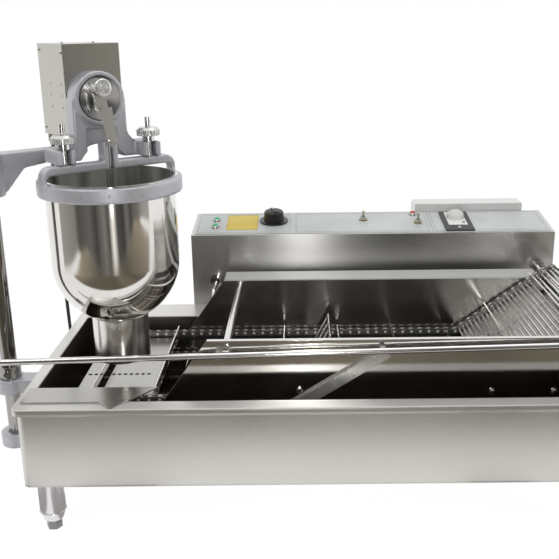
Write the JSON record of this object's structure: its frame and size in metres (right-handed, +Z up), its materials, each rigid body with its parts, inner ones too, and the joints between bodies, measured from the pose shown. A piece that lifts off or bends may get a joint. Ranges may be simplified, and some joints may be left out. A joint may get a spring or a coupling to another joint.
{
  "type": "donut fryer",
  "caption": "Table-top automatic donut fryer: oil tank on legs, chain conveyor with flights and incline, control box, and a swinging depositor head with hopper and crank plunger.",
  "frame": {"origin": "floor level under the middle of the bounding box", "axes": "+X along the tank to the discharge end, +Y from the front to the control box, +Z up"},
  "size_m": [0.9606, 0.638, 0.695],
  "materials": {
    "brushed_panel": "brushed stainless sheet",
    "polished_sheet": "bright polished stainless sheet",
    "pan_steel": "dull stainless, darkened by heat",
    "mirror_steel": "mirror polished stainless",
    "chrome": "bright chrome",
    "cast_alloy": "satin sand cast alloy",
    "turned_alloy": "turned bright alloy",
    "chain_steel": "satin chain steel",
    "bright_rod": "bright drawn rod",
    "rail_plastic": "black sliding plastic",
    "heater_sheath": "heat stained sheath",
    "panel_film": "pale printed film",
    "green_lens": "clear green lens",
    "red_lens": "clear red lens",
    "black_plastic": "black moulded plastic",
    "white_plastic": "white moulded plastic",
    "motor_paint": "dark painted motor",
    "lead_rubber": "black sheathed lead"
  },
  "bodies": {
    "root": {"tank_casing": "brushed_panel", "oil_pan": "pan_steel", "deck_plate": "polished_sheet", "landing_plate": "brushed_panel", "legs": "turned_alloy", "front_side_plate": "polished_sheet", "back_side_plate": "polished_sheet", "tie_bars": "bright_rod", "lift_bar": "bright_rod", "lift_bar_clips": "polished_sheet", "brace_bar": "polished_sheet", "front_chain": "chain_steel", "back_chain": "chain_steel", "flights": "polished_sheet", "incline_rods": "bright_rod", "incline_tray": "polished_sheet", "chain_rails": "rail_plastic", "shaft_bushes": "chain_steel", "heating_element": "heater_sheath", "thermostat_probe": "bright_rod", "probe_grommet": "chrome", "control_box": "brushed_panel", "panel_overlay": "panel_film", "panel_hardware": "chrome", "green_lamps": "green_lens", "red_lamp": "red_lens", "control_spindles": "chain_steel", "speed_plate": "black_plastic", "gear_motor": "motor_paint", "motor_cover": "brushed_panel", "upper_bracket": "cast_alloy", "lower_bracket": "cast_alloy", "column": "chrome", "column_collar": "chrome", "head_lead": "lead_rubber", "lead_gland": "lead_rubber"},
    "head": {"arm_casting": "cast_alloy", "motor_box": "brushed_panel", "head_motor": "motor_paint", "hopper_ring": "cast_alloy", "ring_studs": "chrome", "hopper": "mirror_steel", "outlet_tube": "mirror_steel"},
    "foot_fl": {"foot_front_left": "turned_alloy"},
    "foot_fr": {"foot_front_right": "turned_alloy"},
    "foot_rl": {"foot_rear_left": "turned_alloy"},
    "foot_rr": {"foot_rear_right": "turned_alloy"},
    "drive": {"drive_shaft": "bright_rod"},
    "idler": {"idler_sprockets": "chain_steel"},
    "flipper": {"flipper": "bright_rod"},
    "thermostat": {"thermostat_knob": "black_plastic"},
    "speed": {"speed_knob": "white_plastic"},
    "left_switch": {"toggle_left": "chrome"},
    "right_switch": {"toggle_right": "chrome"},
    "left_nut": {"thumb_nut_left": "turned_alloy"},
    "right_nut": {"thumb_nut_right": "turned_alloy"},
    "crank": {"crank_disc": "turned_alloy"},
    "link": {"crank_link": "polished_sheet"},
    "plunger": {"plunger": "bright_rod"}
  },
  "joints": [
    {"name": "foot_turn_fl", "type": "hinge", "parent": "root", "child": "foot_fl", "pos_m": [-0.37528, -0.284, 0.005], "axis": [0, 0, 1], "continuous": true},
    {"name": "foot_turn_fr", "type": "hinge", "parent": "root", "child": "foot_fr", "pos_m": [0.40472, -0.284, 0.005], "axis": [0, 0, 1], "continuous": true},
    {"name": "foot_turn_rl", "type": "hinge", "parent": "root", "child": "foot_rl", "pos_m": [-0.37528, 0.104, 0.005], "axis": [0, 0, 1], "continuous": true},
    {"name": "foot_turn_rr", "type": "hinge", "parent": "root", "child": "foot_rr", "pos_m": [0.40472, 0.104, 0.005], "axis": [0, 0, 1], "continuous": true},
    {"name": "drive_turn", "type": "hinge", "parent": "root", "child": "drive", "pos_m": [0.44328, -0.0905, 0.27719], "axis": [0, 1, 0], "continuous": true},
    {"name": "idler_turn", "type": "hinge", "parent": "root", "child": "idler", "pos_m": [-0.32628, -0.0905, 0.16126], "axis": [0, 1, 0], "continuous": true},
    {"name": "flipper_swing", "type": "hinge", "parent": "root", "child": "flipper", "pos_m": [0.01503, -0.0905, 0.16126], "axis": [0, -1, 0], "range_deg": [0, 65]},
    {"name": "thermostat_turn", "type": "hinge", "parent": "root", "child": "thermostat", "pos_m": [-0.05328, 0.20623, 0.36048], "axis": [0, -0.124, 0.9923], "range_deg": [-270, 0]},
    {"name": "speed_turn", "type": "hinge", "parent": "root", "child": "speed", "pos_m": [0.29772, 0.2092, 0.36085], "axis": [0, -0.124, 0.9923], "range_deg": [-270, 0]},
    {"name": "left_switch_tilt", "type": "hinge", "parent": "root", "child": "left_switch", "pos_m": [0.11972, 0.20968, 0.35708], "axis": [1, 0, 0], "range_deg": [-24, 0]},
    {"name": "right_switch_tilt", "type": "hinge", "parent": "root", "child": "right_switch", "pos_m": [0.22372, 0.19281, 0.35497], "axis": [1, 0, 0], "range_deg": [-24, 0]},
    {"name": "arm_swing", "type": "hinge", "parent": "root", "child": "head", "pos_m": [-0.45628, -0.174, 0.502], "axis": [0, 0, 1], "range_deg": [-15, 9]},
    {"name": "left_nut_turn", "type": "hinge", "parent": "head", "child": "left_nut", "pos_m": [-0.33803, -0.18567, 0.5664], "axis": [0, 0, 1], "continuous": true},
    {"name": "right_nut_turn", "type": "hinge", "parent": "head", "child": "right_nut", "pos_m": [-0.23086, -0.10194, 0.5664], "axis": [0, 0, 1], "continuous": true},
    {"name": "crank_turn", "type": "hinge", "parent": "head", "child": "crank", "pos_m": [-0.29183, -0.13435, 0.618], "axis": [0.6157, -0.788, 0], "range_deg": [0, 153]},
    {"name": "link_turn", "type": "hinge", "parent": "crank", "child": "link", "pos_m": [-0.29124, -0.14912, 0.63493], "axis": [0.6157, -0.788, 0], "range_deg": [-159.52, 0]},
    {"name": "plunger_slide", "type": "slide", "parent": "head", "child": "plunger", "axis": [0, 0, 1], "range_m": [-0.03642, 0]}
  ],
  "couplings": [
    {"joint": "idler_turn", "follows": "drive_turn", "ratio": 1},
    {"joint": "link_turn", "follows": "crank_turn", "ratio": -1.0426},
    {"joint": "plunger_slide", "follows": "crank_turn", "m_per_rad": -0.013639}
  ]
}
